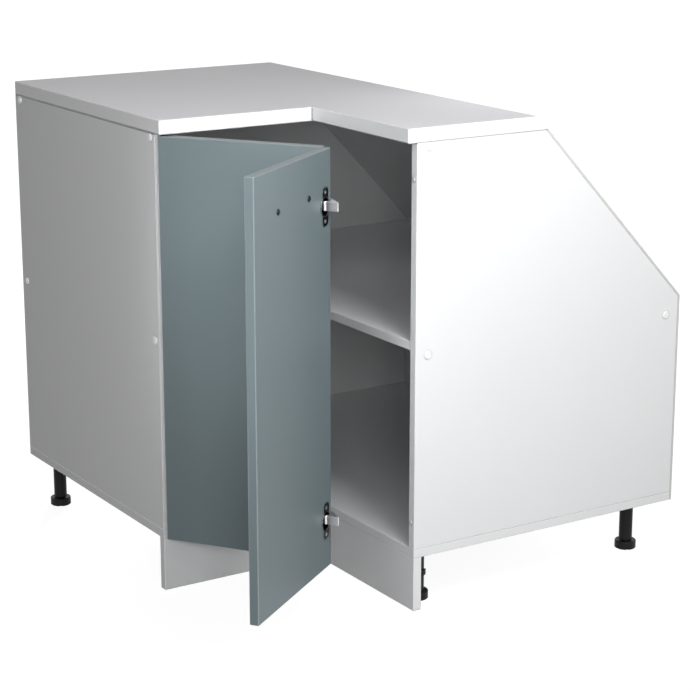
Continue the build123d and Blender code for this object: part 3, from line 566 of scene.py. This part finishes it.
def cutRecess(tree, given, head, basics):
    # cross recess: two tapered bars sunk into the head
    depth = mathNode(tree, "MULTIPLY", given["Head Height"], basics["depth"])
    long = mathNode(tree, "MULTIPLY", given["Head Radius"], 2 * basics["width"])
    short = mathNode(tree, "MULTIPLY", long, basics["bar"])
    sunk = mathNode(tree, "MULTIPLY", depth, basics["sunk"])

    def barShare(z):
        widening = mathNode(tree, "MULTIPLY", climbOf(tree, z, depth), 1.0 - basics["taper"])
        return mathNode(tree, "ADD", basics["taper"], widening)

    cut = addNode(tree, "GeometryNodeMeshBoolean", {"Mesh 1": head}, operation="DIFFERENCE")
    for length, width in ((long, short), (short, long)):
        size = addNode(tree, "ShaderNodeCombineXYZ", {"X": length, "Y": width, "Z": depth})
        bar = addNode(tree, "GeometryNodeMeshCube", {"Size": size.outputs[0]})
        tree.links.new(reshape(tree, bar.outputs["Mesh"], barShare, sunk), cut.inputs["Mesh 2"])
    return cut.outputs["Mesh"]


def buildShank(tree, given, basics):
    # the shank with a tapered tip
    height = given["Head Height"]
    reach = mathNode(tree, "SUBTRACT", given["Length"], height)
    rod = addNode(tree, "GeometryNodeMeshCylinder", {
        **basics["shank"], "Radius": given["Shank Radius"], "Depth": reach,
    }, fill_type="NGON")

    def shankShare(z):
        widening = mathNode(tree, "MULTIPLY", climbOf(tree, z, reach), basics["tipRate"])
        return mathNode(tree, "MINIMUM", 1.0, mathNode(tree, "ADD", basics["tipShare"], widening))

    below = mathNode(tree, "ADD", height, mathNode(tree, "MULTIPLY", reach, 0.5))
    return reshape(tree, rod.outputs["Mesh"], shankShare, below)


def buildScrewTree(basics):
    tree = bpy.data.node_groups.new("crossScrews", "GeometryNodeTree")
    sockets = [("Geometry", "Geometry"), ("Head Radius", "Float"), ("Head Height", "Float"),
               ("Shank Radius", "Float"), ("Length", "Float"), ("Round Head", "Bool"),
               ("Finish", "Material")]
    for label, kind in sockets:
        tree.interface.new_socket(label, in_out="INPUT", socket_type="NodeSocket" + kind)
    tree.interface.new_socket("Geometry", in_out="OUTPUT", socket_type="NodeSocketGeometry")
    given = addNode(tree, "NodeGroupInput").outputs
    sink = addNode(tree, "NodeGroupOutput")
    head = cutRecess(tree, given, buildHead(tree, given, basics), basics)
    shank = buildShank(tree, given, basics)
    whole = addNode(tree, "GeometryNodeJoinGeometry")
    tree.links.new(shank, whole.inputs[0])
    tree.links.new(head, whole.inputs[0])

    # one on every point, its head outward, each turned a little differently
    outward = addNode(tree, "GeometryNodeInputNamedAttribute", {"Name": "outward"},
                      data_type="FLOAT_VECTOR")
    facing = addNode(tree, "FunctionNodeAlignRotationToVector", {
        "Vector": outward.outputs["Attribute"],
    }, axis="Z")
    spread = addNode(tree, "GeometryNodeInstanceOnPoints", {
        "Points": given["Geometry"], "Instance": whole.outputs[0], "Rotation": facing.outputs[0],
    })
    angle = addNode(tree, "FunctionNodeRandomValue", {
        "Max": math.pi / 2, "Seed": basics["turnSeed"],
    }, data_type="FLOAT")
    spin = addNode(tree, "ShaderNodeCombineXYZ", {"Z": angle.outputs["Value"]})
    turned = addNode(tree, "GeometryNodeRotateInstances", {
        "Instances": spread.outputs[0], "Rotation": spin.outputs[0],
    })
    real = addNode(tree, "GeometryNodeRealizeInstances", {0: turned.outputs[0]})
    finish = addNode(tree, "GeometryNodeSetMaterial", {
        "Geometry": real.outputs[0], "Material": given["Finish"],
    })
    tree.links.new(finish.outputs[0], sink.inputs["Geometry"])
    return tree


def screwSpots(name, basics):
    # each screw's head middle and outward direction, from the plain solid it stands for
    work = bmesh.new()
    work.from_mesh(nodes[name].data)
    bmesh.ops.remove_doubles(work, verts=work.verts, dist=basics["weld"])
    left, spots = set(work.verts), []
    while left:
        island, edge = set(), {next(iter(left))}
        while edge:
            island |= edge
            edge = {e.other_vert(v) for v in edge for e in v.link_edges} - island
        left -= island
        points = np.array([v.co for v in island])
        middle = points.mean(axis=0)
        axis = np.linalg.svd(points - middle, full_matrices=False)[2][0]
        ends = []
        for way in (axis, -axis):
            along = (points - middle) @ way
            tip = points[along > along.max() - basics["endDepth"]]
            ends.append((np.ptp(tip, axis=0).max(), tip.mean(axis=0), way))
        spots.append(max(ends, key=lambda end: end[0])[1:])  # the wider end is the head
    work.free()
    return sorted(spots, key=lambda spot: tuple(spot[0]))


def bakeNodes(holder, tree, values, basics):
    # runs a node tree on the holder's mesh and keeps the result as a plain mesh
    modifier = holder.modifiers.new("nodes", "NODES")
    modifier.node_group = tree
    for socket in tree.interface.items_tree:
        if socket.in_out == "INPUT" and socket.name in values:
            modifier[socket.identifier] = values[socket.name]
    solid = holder.evaluated_get(bpy.context.evaluated_depsgraph_get())
    mesh = bpy.data.meshes.new_from_object(solid)
    holder.modifiers.remove(modifier)
    holder.data = mesh
    mesh.set_sharp_from_angle(angle=math.radians(basics["creaseAngle"]))


screwTree = buildScrewTree(screwBasics)
bodyOf = {name: body for body, held in frame["record"]["behaviour"]["bodies"].items()
          for name in held}
for kind, look in screwLooks.items():
    values = {key: value for key, value in look.items() if key[0].isupper()}
    values["Finish"] = finishes[look.get("finish", "zincScrew")]
    for name in look["nodes"]:
        spots = screwSpots(name, screwBasics)
        mesh = bpy.data.meshes.new(name + "_points")
        mesh.from_pydata([tuple(spot) for spot, way in spots], [], [])
        outward = mesh.attributes.new("outward", "FLOAT_VECTOR", "POINT")
        outward.data.foreach_set("vector", np.array([way for spot, way in spots]).ravel())
        screws = bpy.data.objects.new(name + "_cross", mesh)
        bpy.context.scene.collection.objects.link(screws)
        bakeNodes(screws, screwTree, values, screwBasics)
        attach(screws, bodyOf[name])
        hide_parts(name)
    print(kind, "made for", len(look["nodes"]), "groups")


# camera at the photo's angle: place and reach in metres, tilt and turn in degrees
cameraLook = {
    "place": (-1.9458, -3.0933, 1.3444), "tilt": 75.11, "turn": -32.37, "lens": 104.5,
    "reach": 150.0,
}
camera = bpy.data.objects.new("camera", bpy.data.cameras.new("camera"))
bpy.context.scene.collection.objects.link(camera)
camera.location = cameraLook["place"]
camera.rotation_euler = (math.radians(cameraLook["tilt"]), 0.0, math.radians(cameraLook["turn"]))
camera.data.lens = cameraLook["lens"]
camera.data.clip_end = cameraLook["reach"]
bpy.context.scene.camera = camera

# soft studio light: place, aim and size in metres, power in watts, spread in degrees
lampLooks = {
    "cameraFill": {
        "place": (-1.75, -3.15, 1.25), "aim": (0.05, -0.1, 0.45), "size": 0.9, "power": 36.0,
    },
    "frontSoftbox": {
        "place": (0.5, -2.8, 1.6), "aim": (0.0, -0.2, 0.45), "size": 1.4, "power": 22.0,
    },
    "leftSoftbox": {
        "place": (-1.15, -1.0, 1.7), "aim": (-0.35, -0.3, 0.6), "size": 0.5, "power": 3.4,
    },
    "nearSoftbox": {
        "place": (-0.25, -1.4, 1.7), "aim": (-0.3, -0.3, 0.6), "size": 0.5, "power": 17.0,
    },
    "sideSoftbox": {
        "place": (-1.5, -0.9, 0.9), "aim": (-0.25, -0.35, 0.5), "size": 0.4, "power": 2.6,
    },
    "leafStrip": {
        "place": (-1.2, -0.82, 0.72), "aim": (-0.30, -0.25, 0.60), "size": 0.16, "power": 0.22,
        "tall": 0.5, "spread": 30.0,
    },
    "topStrip": {
        "place": (0.32, -0.22, 1.5), "aim": (0.24, -0.18, 0.845), "size": 0.2, "power": 0.14,
        "tall": 0.3, "spread": 45.0,
    },
    "rearFill": {
        "place": (1.5, 2.6, 0.58), "aim": (0.1, 0.2, 0.4), "size": 0.45, "power": 45.0,
    },
}


def aimAt(item, target):
    away = item.location - type(item.location)(target)
    item.rotation_euler = away.to_track_quat("Z", "Y").to_euler()


for name, look in lampLooks.items():
    lamp = bpy.data.objects.new(name, bpy.data.lights.new(name, "AREA"))
    bpy.context.scene.collection.objects.link(lamp)
    lamp.location = look["place"]
    lamp.data.size = look["size"]
    lamp.data.energy = look["power"]
    if "tall" in look:
        lamp.data.shape = "RECTANGLE"
        lamp.data.size_y = look["tall"]
        lamp.data.spread = math.radians(look["spread"])
    lamp.visible_camera = False
    aimAt(lamp, look["aim"])

# a pale floor that the camera sees as white, with the shadow kept; its glow rises away
# from the object, between the two distances of "liftFrom" and "liftTo" in metres
white = (1.0, 1.0, 1.0, 1.0)
stageLook = {
    "size": 80.0, "floor": (0.12, 0.12, 0.12, 1.0), "floorRoughness": 0.8, "sky": 0.08,
    "lift": 0.92, "farLift": 1.0, "liftFrom": 1.0, "liftTo": 3.0,
}


def seenDirectly(tree):
    # 1 for what the camera sees, also by way of gloss or glass
    rays = addNode(tree, "ShaderNodeLightPath").outputs
    seen = mathNode(tree, "MAXIMUM", rays["Is Camera Ray"], rays["Is Glossy Ray"])
    return mathNode(tree, "MAXIMUM", seen, rays["Is Transmission Ray"])


def buildFloor(look):
    half = look["size"] / 2
    mesh = bpy.data.meshes.new("floor")
    corners = [(-half, -half, 0.0), (half, -half, 0.0), (half, half, 0.0), (-half, half, 0.0)]
    mesh.from_pydata(corners, [], [(0, 1, 2, 3)])
    floor = bpy.data.objects.new("floor", mesh)
    bpy.context.scene.collection.objects.link(floor)
    material, tree, shader = startMaterial("paleFloor")
    feedAll(tree, shader, {"Base Color": look["floor"], "Roughness": look["floorRoughness"]})
    place = addNode(tree, "ShaderNodeTexCoord").outputs["Object"]
    away = addNode(tree, "ShaderNodeVectorMath", {0: place}, operation="LENGTH").outputs["Value"]
    rise = addNode(tree, "ShaderNodeMapRange", {
        "Value": away, "From Min": look["liftFrom"], "From Max": look["liftTo"],
        "To Min": look["lift"], "To Max": look["farLift"],
    }).outputs[0]
    glow = addNode(tree, "ShaderNodeEmission", {
        "Color": white, "Strength": mathNode(tree, "MULTIPLY", seenDirectly(tree), rise),
    })
    both = addNode(tree, "ShaderNodeAddShader", {0: shader.outputs[0], 1: glow.outputs[0]})
    tree.links.new(both.outputs[0], tree.nodes["Material Output"].inputs["Surface"])
    mesh.materials.append(material)


def buildSky(look):
    world = bpy.data.worlds.new("studio")
    bpy.context.scene.world = world
    world.use_nodes = True
    tree = world.node_tree
    extra = mathNode(tree, "MULTIPLY", seenDirectly(tree), 1.0 - look["sky"])
    strength = mathNode(tree, "ADD", extra, look["sky"])
    feedAll(tree, tree.nodes["Background"], {"Color": white, "Strength": strength})


buildFloor(stageLook)
buildSky(stageLook)
bpy.context.scene.view_settings.view_transform = "Standard"
print("camera, lamps and stage ready")
